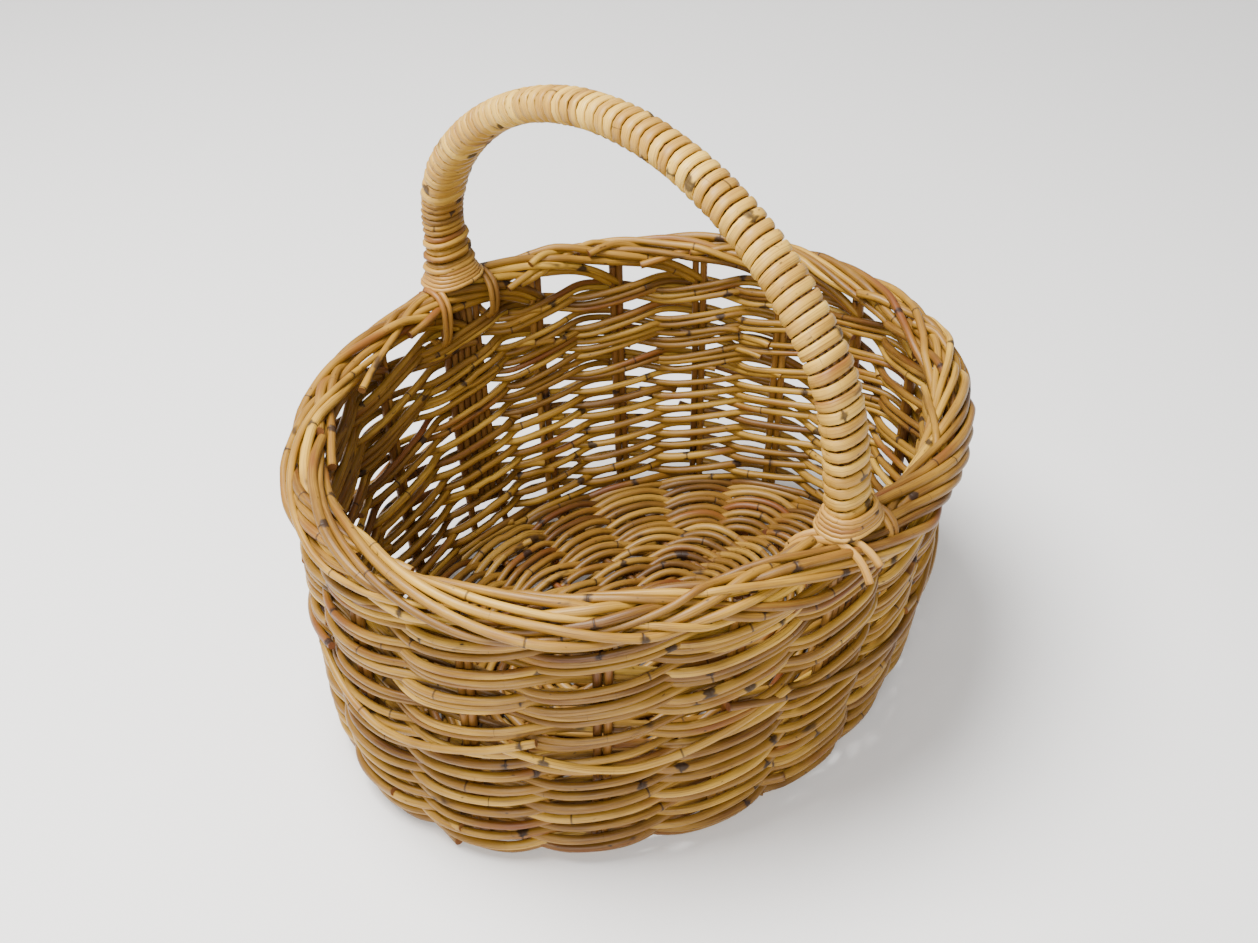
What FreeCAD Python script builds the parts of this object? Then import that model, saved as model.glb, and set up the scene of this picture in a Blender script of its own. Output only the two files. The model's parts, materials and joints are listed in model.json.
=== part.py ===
"""Oval market basket of round cane, with a fixed arched handle.

Millimetres. X runs along the basket, Y across it, in the plane of the handle, and Z up.
The origin is on the table, under the middle of the basket.

The wall is set out on one mid-surface. At every height it is a four-centre oval, and
`out` is the distance outwards from it. The stakes stand on it, and the weaving canes lie
one stake radius and one cane radius away from it, inside and outside.
"""
import FreeCAD
import Part
import math
import os

Vec = FreeCAD.Vector
UP = Vec(0, 0, 1)

# ---- driving dimensions -------------------------------------------------------------------
RIM_HALF_LENGTH = 198.0      # mid-surface at the top of the wall
RIM_HALF_WIDTH = 168.0
FOOT_HALF_LENGTH = 192.0     # the same wall carried down to the table
FOOT_HALF_WIDTH = 147.5
END_ROUNDNESS = 0.85         # radius of the oval's ends, as a share of its half width
WALL_TOP = 196.0             # where the stakes end, inside the border
FIT_GAP = 0.3                # room between one cane and the next
BEND_GAP = 0.9               # more room for the weavers that cross the bend at the foot
RING_CANES = 6               # canes laid end to end in one ring of weaving or border
BASE_RING_CANES = 4
END_GAP = 0.002              # turn between one cane's end and the next, about 0.4 mm
STAGGER = 0.456              # how far the ends move on from ring to ring, as a share of a cane

SPACES_RIGHT = 10            # between one leg of the handle and the other, round the +X end
SPACES_LEFT = 8              # and round the -X end, where the stakes stand further apart
STAKE_RADIUS = 2.5
STAKE_TAIL = 46.0            # length that runs into the base
BEND_RADIUS = 10.0           # of a stake, where the base turns up into the wall

WEAVER_RADIUS = 2.5
LOWER_ROUNDS = 8
LOWER_FIRST_HEIGHT = 12.5
LOWER_PITCH = 10.3
UPPER_ROUNDS = 4
UPPER_FIRST_HEIGHT = 109.5
UPPER_PITCH = 18.6
CANE_LIFT = WEAVER_RADIUS + 0.1   # half the spacing of the doubled canes in an upper round

BORDER_RADIUS = 3.3
BORDER_HEIGHT = 192.4        # middle of the border's roll
BORDER_ROLL = 8.7            # from there to the middle of a border cane
BORDER_FOLLOW_DROP = 11.0    # the lowest pair of border canes, below the roll's middle
BORDER_FOLLOW_OUT = 6.1

BASE_LEVEL = 8.6             # middle of the base sticks
STICK_RADIUS = 3.4
THREADED_STICK_RADIUS = 2.0
CROSS_STICKS = 5
LONG_STICKS = 4
CROSS_SPACING = 42.0
LONG_SPACING = 20.0
STICK_MARGIN = 64.0          # sticks stop this far inside the wall's mid-surface
BASE_RING_OUTER = -16.0      # outermost base round, measured from the mid-surface
BASE_RING_PITCH = 12.3
BASE_RINGS = 9
FOOT_OUT = -2.4             # the foot cane, measured from the mid-surface
FOOT_RADIUS = 2.9
FOOT_HEIGHT = 2.75           # lower than its radius, so its underside is a narrow flat

ARCH_HALF_SPAN = 168.0       # handle's centre line, above the border
ARCH_TOP = 371.0
ARCH_SHOULDER_HEIGHT = 240.0
ARCH_SHOULDER_RADIUS = 95.0
CORE_RADIUS = 2.5
CORE_ACROSS = 4              # canes in the middle row, which runs down into the wall
LINER_ACROSS = 3             # canes in the rows outside and inside it
CORE_FOOT = 34.0             # how low the core's legs reach
WRAP_FOOT = 206.0            # where the wrapping starts, just above the border
WRAP_WIDTH = 26.4
WRAP_DEPTH = 20.0
WRAP_HOLE_WIDTH = 20.9
WRAP_HOLE_DEPTH = 14.6
COLLAR_RADIUS = 2.0
COLLAR_TURNS = 3
LASHING_RADIUS = 1.7
LASHING_OFFSET = 19.0        # from the middle of the handle's leg, along the rim


# ---- the oval ------------------------------------------------------------------------------
def wall_axes(z):
    """Half length and half width of the wall's mid-surface, before its foot is rounded."""
    share = z / WALL_TOP
    return (FOOT_HALF_LENGTH + (RIM_HALF_LENGTH - FOOT_HALF_LENGTH) * share,
            FOOT_HALF_WIDTH + (RIM_HALF_WIDTH - FOOT_HALF_WIDTH) * share)


def oval(z, out=0.0):
    """The four-centre oval at height z: end centre, end radius, side centre, side radius, joint angle."""
    a, b = wall_axes(z)
    end = END_ROUNDNESS * b
    side = ((a - end) ** 2 + b * b - end * end) / (2 * (b - end))
    joint = math.atan2(side - b, a - end)
    return a - end, end + out, side - b, side + out, joint


def oval_wire(z, out, start, stop):
    """The part of the oval whose outward direction turns from start to stop, as arcs joined end to end."""
    end_x, end_r, side_y, side_r, joint = oval(z, out)
    half_turn = math.pi
    spans = [(Vec(end_x, 0, z), end_r, -joint, joint),
             (Vec(0, -side_y, z), side_r, joint, half_turn - joint),
             (Vec(-end_x, 0, z), end_r, half_turn - joint, half_turn + joint),
             (Vec(0, side_y, z), side_r, half_turn + joint, 2 * half_turn - joint)]
    edges = []
    for lap in (0, 2 * half_turn):
        for centre, radius, low, high in spans:
            first, last = max(low + lap, start), min(high + lap, stop)
            if last > first:
                edges.append(Part.ArcOfCircle(Part.Circle(centre, UP, radius), first, last).toShape())
    return Part.Wire(edges)


def along_oval(z, share):
    """The point that share of the way round the oval from +X, and the outward direction there."""
    end_x, end_r, side_y, side_r, joint = oval(z)
    half_end, half_side = end_r * joint, side_r * (math.pi / 2 - joint)
    quarter = half_end + half_side
    turn, rest = divmod(share % 1.0 * 4, 1.0)
    mirrored = int(turn) % 2 == 1
    run = (1 - rest if mirrored else rest) * quarter
    if run < half_end:
        angle = run / end_r
        x, y = end_x + end_r * math.cos(angle), end_r * math.sin(angle)
    else:
        angle = joint + (run - half_end) / side_r
        x, y = side_r * math.cos(angle), side_r * math.sin(angle) - side_y
    sign_x = 1 if int(turn) in (0, 3) else -1
    sign_y = 1 if int(turn) in (0, 1) else -1
    return Vec(sign_x * x, sign_y * y, z), Vec(sign_x * math.cos(angle), sign_y * math.sin(angle), 0)


def outside_by(point, z):
    """Signed distance of a point from the oval at height z, positive outside."""
    end_x, end_r, side_y, side_r, joint = oval(z)
    x, y = abs(point.x), abs(point.y)
    if math.atan2(y, x - end_x) < joint:
        return math.hypot(x - end_x, y) - end_r
    return math.hypot(x, y + side_y) - side_r


def wall_offset(point, outward, z):
    """How far to move a point along `outward` for it to reach the wall's mid-surface at height z."""
    low, high = -90.0, 30.0
    for _ in range(50):
        middle = (low + high) / 2
        if outside_by(point + outward * middle, z) > 0:
            high = middle
        else:
            low = middle
    return (low + high) / 2


def foot_rounding(z):
    """Inset of the mid-surface at height z, and its tilt from upright, where the wall turns into the base."""
    fall = (BASE_LEVEL + BEND_RADIUS - z) / BEND_RADIUS
    if fall <= 0:
        return 0.0, 0.0
    tilt = math.asin(min(fall, 1.0))
    return BEND_RADIUS * (1 - math.cos(tilt)), tilt


# ---- solids --------------------------------------------------------------------------------
def tube(path, radius, start, direction):
    """A round cane that follows a wire."""
    section = Part.Wire([Part.Circle(start, direction, radius).toShape()])
    solid = path.makePipeShell([section], True, False)
    return solid


def cane_ring(z, out, radius, number, canes=RING_CANES):
    """Round canes laid end to end in a level oval. Their ends lie elsewhere in each numbered ring."""
    turn = 2 * math.pi / canes
    solids = []
    for i in range(canes):
        start = (i + number * STAGGER % 1.0) * turn
        path = oval_wire(z, out, start + END_GAP, start + turn)
        edge = path.OrderedEdges[0]
        end = edge.FirstParameter
        solids.append(tube(path, radius, edge.valueAt(end), edge.tangentAt(end)))
    return solids


def bent_rod(corners, bends, radius):
    """A round cane through straight runs, with a tangent arc of the given radius at each inner corner."""
    edges, last = [], corners[0]
    for corner, after, bend in zip(corners[1:-1], corners[2:], bends):
        before = (last - corner).normalize()
        ahead = (after - corner).normalize()
        turn = math.pi - before.getAngle(ahead)
        reach = bend * math.tan(turn / 2)
        bisector = (before + ahead).normalize()
        middle = corner + bisector * (bend / math.cos(turn / 2) - bend)
        start, stop = corner + before * reach, corner + ahead * reach
        edges.append(Part.makeLine(last, start))
        edges.append(Part.Arc(start, middle, stop).toShape())
        last = stop
    edges.append(Part.makeLine(last, corners[-1]))
    return tube(Part.Wire(edges), radius, corners[0], (corners[1] - corners[0]).normalize())


def save(name, solids):
    """Checks the solids of one sub-part and writes them as one STEP file."""
    for solid in solids:
        if not solid.isValid() or solid.Volume <= 0:
            raise ValueError("bad solid in " + name)
    shape = solids[0] if len(solids) == 1 else Part.makeCompound(solids)
    shape.exportStep(os.path.join("parts", name + ".step"))
    print("%-28s %2d solids %9.0f mm3" % (name, len(solids), sum(s.Volume for s in solids)))


# ---- base ----------------------------------------------------------------------------------
def stick_reach(position, half_length, half_width):
    """Half the length of a base stick whose distance from the middle line is `position`."""
    return half_width * math.sqrt(1 - (position / half_length) ** 2)


def make_base():
    a, b = wall_axes(BASE_LEVEL)
    reach_x, reach_y = a - STICK_MARGIN, b - STICK_MARGIN
    long_sticks, holes = [], []
    for i in range(LONG_STICKS):
        y = (i - (LONG_STICKS - 1) / 2) * LONG_SPACING
        half = stick_reach(y, reach_y, reach_x)
        foot = Vec(-half, y, BASE_LEVEL)
        long_sticks.append(Part.makeCylinder(THREADED_STICK_RADIUS, 2 * half, foot, Vec(1, 0, 0)))
        holes.append(Part.makeCylinder(THREADED_STICK_RADIUS + 0.1, 2 * half, foot, Vec(1, 0, 0)))
    cross_sticks = []
    for i in range(CROSS_STICKS):
        x = (i - (CROSS_STICKS - 1) / 2) * CROSS_SPACING
        half = stick_reach(x, reach_x, reach_y)
        stick = Part.makeCylinder(STICK_RADIUS, 2 * half, Vec(x, -half, BASE_LEVEL), Vec(0, 1, 0))
        cross_sticks.append(stick.cut(Part.makeCompound(holes)).Solids[0])
    save("base_cross_sticks", cross_sticks)
    save("base_long_sticks", long_sticks)


def make_base_weave():
    layer = STICK_RADIUS + FIT_GAP + WEAVER_RADIUS - 0.7
    groups = {"base_weave_outer": range(0, 3), "base_weave_middle": range(3, 6),
              "base_weave_inner": range(6, BASE_RINGS)}
    for name, rounds in groups.items():
        rings = []
        for i in rounds:
            out = BASE_RING_OUTER - i * BASE_RING_PITCH
            for side in (1, -1):
                z = BASE_LEVEL + side * layer
                rings += cane_ring(z, out, WEAVER_RADIUS, 2 * i + side, BASE_RING_CANES)
        save(name, rings)


def make_foot():
    """The foot cane: the basket stands on the narrow flat along its underside."""
    below = Part.makeBox(600, 600, 20, Vec(-300, -300, -20))
    canes = [cane.cut(below).Solids[0] for cane in cane_ring(FOOT_HEIGHT, FOOT_OUT, FOOT_RADIUS, 0)]
    save("foot_cane", canes)


# ---- wall ----------------------------------------------------------------------------------
def stake_places():
    """Where the stakes stand, as shares of the way round the oval, starting at the handle's far leg."""
    right = [0.25 - 0.5 * i / SPACES_RIGHT for i in range(SPACES_RIGHT)]
    left = [-0.25 - 0.5 * i / SPACES_LEFT for i in range(SPACES_LEFT)]
    return right + left


def make_stakes():
    """The pairs at the handle stand one cane each side of its leg."""
    beside_leg = CORE_ACROSS * CORE_RADIUS + STAKE_RADIUS + FIT_GAP
    for k, place in enumerate(stake_places()):
        top, outward = along_oval(WALL_TOP, place)
        sideways = Vec(-outward.y, outward.x, 0)
        at_handle = k in (0, SPACES_RIGHT)
        spread = beside_leg if at_handle else STAKE_RADIUS + FIT_GAP / 2
        straight_from = BASE_LEVEL + BEND_RADIUS
        canes = []
        for side in (-1, 1):
            head = top + sideways * (side * spread)
            shift_top = wall_offset(head, outward, WALL_TOP)
            shift_low = wall_offset(head, outward, straight_from)
            lean = (shift_top - shift_low) / (WALL_TOP - straight_from)
            shift_base = shift_low - lean * BEND_RADIUS
            level = Vec(0, 0, BASE_LEVEL - WALL_TOP)
            corner = head + outward * shift_base + level
            tail = corner - outward * (BEND_RADIUS + STAKE_TAIL)
            canes.append(bent_rod([tail, corner, head + outward * shift_top], [BEND_RADIUS], STAKE_RADIUS))
        save("stake_pair_%02d" % (k + 1), canes)


def make_lower_weave():
    """Single canes, one inside and one outside the stakes at each round."""
    for i in range(LOWER_ROUNDS):
        z = LOWER_FIRST_HEIGHT + i * LOWER_PITCH
        inset, tilt = foot_rounding(z)
        reach = STAKE_RADIUS + FIT_GAP + WEAVER_RADIUS + (BEND_GAP if tilt > 0 else 0)
        rings = []
        for side in (1, -1):
            out = side * reach * math.cos(tilt) - inset
            rings += cane_ring(z - side * reach * math.sin(tilt), out, WEAVER_RADIUS, 2 * i + side)
        save("lower_weave_round_%02d" % (i + 1), rings)


def make_upper_weave():
    """Doubled canes, two inside and two outside the stakes at each round."""
    reach = STAKE_RADIUS + FIT_GAP + WEAVER_RADIUS
    for i in range(UPPER_ROUNDS):
        z = UPPER_FIRST_HEIGHT + i * UPPER_PITCH
        rings = []
        for side in (1, -1):
            for level in (1, -1):
                number = 4 * i + 2 * side + level
                rings += cane_ring(z + level * CANE_LIFT, side * reach, WEAVER_RADIUS, number)
        save("upper_weave_round_%02d" % (i + 1), rings)


def make_border():
    """The roll of canes round the rim, as level rings."""
    along = BORDER_ROLL * math.cos(math.radians(30))
    rise = BORDER_ROLL * math.sin(math.radians(30))
    for name, side in (("border_outer_canes", 1), ("border_inner_canes", -1)):
        places = [(along, BORDER_HEIGHT + rise), (along, BORDER_HEIGHT - rise),
                  (BORDER_FOLLOW_OUT, BORDER_HEIGHT - BORDER_FOLLOW_DROP)]
        rings = []
        for i, (out, z) in enumerate(places):
            rings += cane_ring(z, side * out, BORDER_RADIUS, 2 * i + side)
        save(name, rings)
    save("border_top_cane", cane_ring(BORDER_HEIGHT + BORDER_ROLL, 0, BORDER_RADIUS, 0))


# ---- handle --------------------------------------------------------------------------------
def arch_path(x, out, foot):
    """The handle's line in the plane of x, `out` away from its centre line: legs, shoulders and top arc."""
    span, rise = ARCH_HALF_SPAN, ARCH_TOP - ARCH_SHOULDER_HEIGHT
    shoulder = ARCH_SHOULDER_RADIUS
    crown = ((span - shoulder) ** 2 + rise ** 2 - shoulder ** 2) / (2 * (rise - shoulder))
    centre = Vec(x, 0, ARCH_TOP - crown)
    joint = math.atan2(ARCH_SHOULDER_HEIGHT - centre.z, span - shoulder)

    def on(centre_point, radius, angle):
        return centre_point + Vec(0, math.cos(angle), math.sin(angle)) * radius

    far, near = Vec(x, span - shoulder, ARCH_SHOULDER_HEIGHT), Vec(x, shoulder - span, ARCH_SHOULDER_HEIGHT)
    r, top = shoulder + out, crown + out
    edges = []
    if foot < ARCH_SHOULDER_HEIGHT:
        edges.append(Part.makeLine(Vec(x, span + out, foot), Vec(x, span + out, ARCH_SHOULDER_HEIGHT)))
    edges.append(Part.Arc(on(far, r, 0), on(far, r, joint / 2), on(far, r, joint)).toShape())
    edges.append(Part.Arc(on(centre, top, joint), on(centre, top, math.pi / 2),
                          on(centre, top, math.pi - joint)).toShape())
    edges.append(Part.Arc(on(near, r, math.pi - joint), on(near, r, math.pi - joint / 2),
                          on(near, r, math.pi)).toShape())
    if foot < ARCH_SHOULDER_HEIGHT:
        edges.append(Part.makeLine(Vec(x, -span - out, ARCH_SHOULDER_HEIGHT), Vec(x, -span - out, foot)))
    return edges


def stadium(centre, width, depth, flat):
    """A rounded outline, width along X and depth along `flat`, both straight sides parallel to X."""
    r, half = depth / 2, (width - depth) / 2
    x = Vec(1, 0, 0)
    corners = [centre + x * half + flat * r, centre + x * half - flat * r,
               centre - x * half - flat * r, centre - x * half + flat * r]
    return Part.Wire([Part.Arc(corners[0], centre + x * (half + r), corners[1]).toShape(),
                      Part.makeLine(corners[1], corners[2]),
                      Part.Arc(corners[2], centre - x * (half + r), corners[3]).toShape(),
                      Part.makeLine(corners[3], corners[0])])


def arch_cane(x, out, foot):
    path = Part.Wire(arch_path(x, out, foot))
    return tube(path, CORE_RADIUS, Vec(x, ARCH_HALF_SPAN + out, foot), UP)


def leg_cane(x):
    """A core cane: over the arch, and down inside the wall at both ends, leaning with it."""
    def wall_y(z):
        return wall_offset(Vec(x, 0, z), Vec(0, 1, 0), z)
    arch = arch_path(x, 0.0, ARCH_SHOULDER_HEIGHT)
    foot_y = wall_axes(CORE_FOOT)[1]
    far_foot = Vec(x, foot_y, CORE_FOOT)
    near_foot = Vec(x, -foot_y, CORE_FOOT)
    lean = (RIM_HALF_WIDTH - foot_y) / (WALL_TOP - CORE_FOOT)
    knee_z = WALL_TOP + (ARCH_HALF_SPAN - RIM_HALF_WIDTH) / max(lean, 0.01)
    bend = 120.0
    turn = math.atan(lean)
    reach = bend * math.tan(turn / 2)
    direction = Vec(0, math.sin(turn), math.cos(turn))
    edges = []
    knee = Vec(x, ARCH_HALF_SPAN, knee_z)
    start, stop = knee - direction * reach, knee + UP * reach
    centre = stop - Vec(0, bend, 0)
    middle = centre + Vec(0, math.cos(turn / 2), -math.sin(turn / 2)) * bend
    edges.append(Part.makeLine(far_foot, start))
    edges.append(Part.Arc(start, middle, stop).toShape())
    edges.append(Part.makeLine(stop, Vec(x, ARCH_HALF_SPAN, ARCH_SHOULDER_HEIGHT)))
    edges += arch
    mirror = [Vec(p.x, -p.y, p.z) for p in (stop, middle, start)]
    edges.append(Part.makeLine(Vec(x, -ARCH_HALF_SPAN, ARCH_SHOULDER_HEIGHT), mirror[0]))
    edges.append(Part.Arc(*mirror).toShape())
    edges.append(Part.makeLine(mirror[2], near_foot))
    return tube(Part.Wire(edges), CORE_RADIUS, far_foot, direction)


def make_handle():
    pitch = 2 * CORE_RADIUS + 0.05
    rows = pitch * math.sqrt(3) / 2
    middle_row = [(i - (CORE_ACROSS - 1) / 2) * pitch for i in range(CORE_ACROSS)]
    liner_row = [(i - (LINER_ACROSS - 1) / 2) * pitch for i in range(LINER_ACROSS)]
    save("handle_core_canes", [leg_cane(x) for x in middle_row])
    save("handle_outer_liner", [arch_cane(x, rows, WRAP_FOOT) for x in liner_row])
    save("handle_inner_liner", [arch_cane(x, -rows, WRAP_FOOT) for x in liner_row])

    path = Part.Wire(arch_path(0, 0, WRAP_FOOT))
    foot = Vec(0, ARCH_HALF_SPAN, WRAP_FOOT)
    across = Vec(0, 1, 0)
    skin = path.makePipeShell([stadium(foot, WRAP_WIDTH, WRAP_DEPTH, across)], True, False)
    hole = path.makePipeShell([stadium(foot, WRAP_HOLE_WIDTH, WRAP_HOLE_DEPTH, across)], True, False)
    save("handle_wrapping", skin.cut(hole).Solids)


def make_handle_bindings():
    """Collar turns round each foot of the handle, and lashings that tie it down to the border."""
    pitch = 2 * COLLAR_RADIUS + 0.2
    width = WRAP_WIDTH + 2 * COLLAR_RADIUS + 2 * FIT_GAP
    depth = WRAP_DEPTH + 2 * COLLAR_RADIUS + 2 * FIT_GAP
    across = Vec(0, 1, 0)
    for name, side in (("collar_far", 1), ("collar_near", -1)):
        turns = []
        for i in range(COLLAR_TURNS):
            centre = Vec(0, side * ARCH_HALF_SPAN, WRAP_FOOT + COLLAR_RADIUS + 0.5 + i * pitch)
            path = stadium(centre, width, depth, across)
            start = path.OrderedVertexes[0].Point
            first = path.OrderedEdges[0]
            turns.append(tube(path, COLLAR_RADIUS, start, first.tangentAt(first.FirstParameter)))
        save(name, turns)

    half = BORDER_ROLL * math.cos(math.radians(30)) + BORDER_RADIUS + LASHING_RADIUS + FIT_GAP
    top = BORDER_HEIGHT + BORDER_ROLL + BORDER_RADIUS + LASHING_RADIUS + FIT_GAP
    low = BORDER_HEIGHT - BORDER_FOLLOW_DROP - BORDER_RADIUS - LASHING_RADIUS - 0.15
    for name, along, side in (("lashing_far_left", -1, 1), ("lashing_far_right", 1, 1),
                              ("lashing_near_left", -1, -1), ("lashing_near_right", 1, -1)):
        share = 0.25 if side > 0 else 0.75
        point, outward = along_oval(BORDER_HEIGHT, share)
        point = point + Vec(along * LASHING_OFFSET, 0, 0)
        point = point + outward * wall_offset(point, outward, BORDER_HEIGHT)
        middle = (top + low) / 2
        centre = Vec(point.x, point.y, middle)
        r = min(half, (top - low) / 2)
        rise = (top - low) / 2 - r
        corners = [centre + outward * r + UP * rise, centre - outward * r + UP * rise,
                   centre - outward * r - UP * rise, centre + outward * r - UP * rise]
        edges = [Part.Arc(corners[0], centre + UP * (rise + r), corners[1]).toShape(),
                 Part.makeLine(corners[1], corners[2]),
                 Part.Arc(corners[2], centre - UP * (rise + r), corners[3]).toShape(),
                 Part.makeLine(corners[3], corners[0])]
        save(name, [tube(Part.Wire(edges), LASHING_RADIUS, corners[0], UP)])


os.makedirs("parts", exist_ok=True)
make_base()
make_base_weave()
make_foot()
make_stakes()
make_lower_weave()
make_upper_weave()
make_border()
make_handle()
make_handle_bindings()
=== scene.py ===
# %% [markdown]
# # An oval market basket of round cane
# The basket is woven from rattan: stiff round canes, about five millimetres thick, that are
# soaked, bent while they are wet, and hold their bend when they dry. Every piece here is made
# the way the basket maker makes it: as a long cane that follows its own path over and under
# its neighbours. The design is loaded first, and many of the sizes below are measured from it.

# %% Load the design
import bmesh
import bpy
import json
import math
import numpy as np
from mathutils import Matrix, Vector
from mathutils.kdtree import KDTree

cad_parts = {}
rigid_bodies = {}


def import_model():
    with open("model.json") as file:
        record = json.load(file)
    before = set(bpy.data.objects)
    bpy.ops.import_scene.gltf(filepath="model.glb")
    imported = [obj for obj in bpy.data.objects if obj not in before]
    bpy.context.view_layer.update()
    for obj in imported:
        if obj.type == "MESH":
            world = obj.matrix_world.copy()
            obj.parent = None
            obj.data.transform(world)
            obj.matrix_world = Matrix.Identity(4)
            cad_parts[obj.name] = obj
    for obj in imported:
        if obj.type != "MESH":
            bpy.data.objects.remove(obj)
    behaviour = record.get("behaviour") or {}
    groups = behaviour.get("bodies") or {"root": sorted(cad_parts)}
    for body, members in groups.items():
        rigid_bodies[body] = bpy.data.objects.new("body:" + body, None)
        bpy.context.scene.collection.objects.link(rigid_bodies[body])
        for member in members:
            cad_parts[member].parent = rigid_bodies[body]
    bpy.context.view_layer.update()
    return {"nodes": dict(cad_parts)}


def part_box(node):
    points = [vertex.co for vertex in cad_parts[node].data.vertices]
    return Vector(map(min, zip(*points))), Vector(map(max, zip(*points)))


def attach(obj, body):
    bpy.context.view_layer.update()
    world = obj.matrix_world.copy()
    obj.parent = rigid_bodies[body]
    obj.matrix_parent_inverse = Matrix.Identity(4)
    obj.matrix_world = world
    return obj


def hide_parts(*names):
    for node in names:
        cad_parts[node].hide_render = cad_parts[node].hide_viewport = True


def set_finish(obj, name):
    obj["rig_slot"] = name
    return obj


for thing in list(bpy.data.objects):
    bpy.data.objects.remove(thing)
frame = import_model()

MM = 0.001
print("nodes:", len(frame["nodes"]))

# %% [markdown]
# ## The wall's middle surface
# All the canes are set out from one surface, halfway through the wall. At each height it is
# an oval made of four arcs, and the oval grows steadily from the table to the rim. Two
# canes of the design, one at the rim and one lower down, give its size at every height.

# %% Measure the oval at two heights
def middle_of(node):
    low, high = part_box(node)
    return (low + high) / 2


def half_size(node):
    low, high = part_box(node)
    return (high - low) / 2


RIM_CANE = half_size("border_top_cane").z
RIM_Z = middle_of("border_top_cane").z
RIM_AXES = [c - RIM_CANE for c in half_size("border_top_cane").xy]
ROUND_CANE = half_size("lower_weave_round_08").z
ROUND_Z = middle_of("lower_weave_round_08").z
STAKE_OVER_STICK = 1.25        # a stake is a quarter thicker than a threaded base stick
STAKE = half_size("base_long_sticks").z * STAKE_OVER_STICK
WALL_GAP = 0.3 * MM
REACH = STAKE + WALL_GAP + ROUND_CANE
ROUND_AXES = [c - ROUND_CANE - REACH for c in half_size("lower_weave_round_08").xy]
END_ROUNDNESS = 0.85
print("rim oval %.0f x %.0f mm at %.0f mm" % (RIM_AXES[0] / MM, RIM_AXES[1] / MM, RIM_Z / MM))


# %% The oval at any height
def wall_axes(z):
    """Half length and half width of the wall's middle surface at height z."""
    share = (z - ROUND_Z) / (RIM_Z - ROUND_Z)
    return [low + (high - low) * share for low, high in zip(ROUND_AXES, RIM_AXES)]


def along_oval(a, b, share):
    """Points on an oval and their outward directions.

    The half sizes a and b and the share of the way round from +X may all be arrays.
    """
    a, b, share = np.broadcast_arrays(a, b, np.asarray(share, float))
    end = END_ROUNDNESS * b
    side = ((a - end) ** 2 + b * b - end * end) / (2 * (b - end))
    joint = np.arctan2(side - b, a - end)
    quarter = end * joint + side * (math.pi / 2 - joint)
    turn = np.floor(share % 1.0 * 4)
    rest = share % 1.0 * 4 - turn
    run = np.where(turn % 2 == 1, 1 - rest, rest) * quarter
    on_end = run < end * joint
    angle = np.where(on_end, run / end, joint + (run - end * joint) / side)
    sign_x = np.where((turn == 0) | (turn == 3), 1.0, -1.0)
    sign_y = np.where(turn < 2, 1.0, -1.0)
    x = np.where(on_end, a - end + end * np.cos(angle), side * np.cos(angle))
    y = np.where(on_end, end * np.sin(angle), side * np.sin(angle) - (side - b))
    flat = np.zeros_like(x)
    return (np.stack([sign_x * x, sign_y * y, flat], -1),
            np.stack([sign_x * np.cos(angle), sign_y * np.sin(angle), flat], -1))


# %% [markdown]
# ## Counting round the basket by stakes
# The weave is easiest to write down if the way round is counted in stakes, not millimetres:
# a weaver is outside at one whole number and inside at the next. Stake 0 is at the handle's
# far leg, stake 10 at its near leg, and the eight spaces of the left half are wider.

# %% Stakes
SPACES_RIGHT = 10
SPACES_LEFT = 8
STAKES = SPACES_RIGHT + SPACES_LEFT
HANDLE_STAKES = (0, SPACES_RIGHT)


def share_at(count):
    """The share of the oval at a count of stakes, clockwise seen from above."""
    count = np.asarray(count, float) % STAKES
    right = 0.25 - 0.5 * count / SPACES_RIGHT
    left = -0.25 - 0.5 * (count - SPACES_RIGHT) / SPACES_LEFT
    return np.where(count < SPACES_RIGHT, right, left)


def handle_nearness(count):
    """1 at the handle's legs, falling to 0 one stake away."""
    count = np.asarray(count, float) % STAKES
    away = [np.abs((count - h + STAKES / 2) % STAKES - STAKES / 2) for h in HANDLE_STAKES]
    return np.clip(1 - np.minimum(*away), 0, 1)


# %% [markdown]
# ## The turn at the foot
# Near the table the wall bends inwards and becomes the base. A point of the wall is given by
# its height before bending; below the bend it is carried round an arc instead, so rows of
# weaving keep their spacing all the way under the basket.

# %% Points on the wall
BASE_Z = middle_of("base_long_sticks").z
BEND = 10 * MM
BEND_TOP = BASE_Z + BEND
TURNED = BEND_TOP - BEND * math.pi / 2      # this height stands for the flat base's edge
BULGE = 4.0 * MM               # how far the wall swells out halfway up


def wall_point(count, height, out=0.0):
    """Points `out` from the middle surface. Heights below the bend are measured round it."""
    count, height, out = np.broadcast_arrays(np.asarray(count, float), height, out)
    past = np.clip((BEND_TOP - height) / BEND, 0, math.pi / 2)
    z = np.where(height < BEND_TOP, BEND_TOP - BEND * np.sin(past), height)
    inset = BEND * (1 - np.cos(past)) - BULGE * np.sin(math.pi * np.clip(z / RIM_Z, 0, 1))
    a, b = wall_axes(z)
    spot, outward = along_oval(a, b, share_at(count))
    normal = outward * np.cos(past)[..., None]
    normal[..., 2] = -np.sin(past)
    under = np.clip(TURNED - height, 0, None)
    place = spot - outward * (inset + under)[..., None] + normal * out[..., None]
    place[..., 2] += z
    return place


# %% [markdown]
# ## One cane
# A cane is a sheet of faces rolled into a tube along its path, sewn along the seam and closed
# at both ends. Rolling a grid keeps the faces in rows, so each point also remembers how far
# along and how far round the cane it is. The material reads those, and its streaks then
# follow every bend. Cane is jointed like bamboo, so the distance to the nearest joint is kept
# as well, together with the distance to the cut end and a tone for the whole cane. A cane
# swells a little at its joints, and its thickness is never quite even.

# %% Smooth random wandering
SEED = 7
rng = np.random.default_rng(SEED)


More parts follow.
